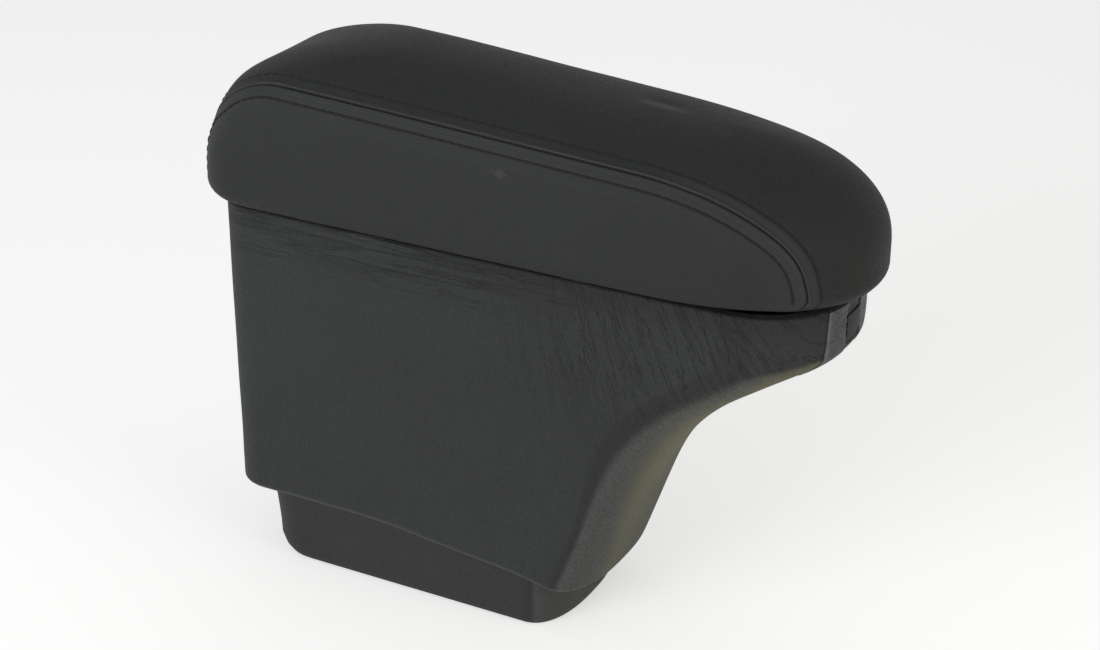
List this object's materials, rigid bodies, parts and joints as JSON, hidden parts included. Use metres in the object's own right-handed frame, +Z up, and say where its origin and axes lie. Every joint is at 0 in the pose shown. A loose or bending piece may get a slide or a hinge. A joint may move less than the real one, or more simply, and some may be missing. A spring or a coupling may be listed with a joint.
{
  "type": "car centre armrest",
  "caption": "Padded, stitched leatherette armrest lid hinged on a wrapped storage box with an overhanging nose, handbrake hollow and plug-in console foot",
  "frame": {"origin": "centre of the foot's flat underside", "axes": "+X towards the nose at the front of the car, +Z up, +Y to the car's left"},
  "size_m": [0.3207, 0.109, 0.2642],
  "materials": {
    "lid_leatherette": "fine-grained black leatherette",
    "box_leatherette": "coarse-grained black leatherette",
    "moulded_plastic": "textured",
    "latch_plastic": "satin",
    "felt": "short-pile felt",
    "board": "raw fibreboard",
    "foam": "open-cell foam",
    "rubber": "soft",
    "steel": "zinc-plated"
  },
  "bodies": {
    "box": {"box_shell": "moulded_plastic", "box_cover": "box_leatherette", "box_felt": "felt", "floor_mat": "felt", "foot_tub": "moulded_plastic", "foot_cover": "box_leatherette", "foot_screws": "steel", "hinge_box_leaf": "steel", "hinge_pin": "steel", "hinge_box_screws": "steel", "latch_body": "latch_plastic", "latch_spring": "steel", "latch_screws": "steel", "rim_bumpers": "rubber"},
    "lid": {"lid_board": "board", "lid_foam": "foam", "lid_cover_top": "lid_leatherette", "lid_cover_right": "lid_leatherette", "lid_cover_left": "lid_leatherette", "lid_lining": "felt", "hinge_lid_leaf": "steel", "hinge_lid_screws": "steel", "lid_catch": "latch_plastic", "catch_screws": "steel"},
    "button": {"latch_button": "latch_plastic"}
  },
  "joints": [
    {"name": "lid_hinge", "type": "hinge", "parent": "box", "child": "lid", "pos_m": [-0.0997, 0, 0.1863], "axis": [0, -1, 0], "range_deg": [0, 95]},
    {"name": "latch_press", "type": "slide", "parent": "box", "child": "button", "axis": [-1, 0, 0], "range_m": [0, 0.003], "stiffness_N_per_m": 400, "springref_m": -0.003, "deforming": ["latch_spring"]}
  ]
}
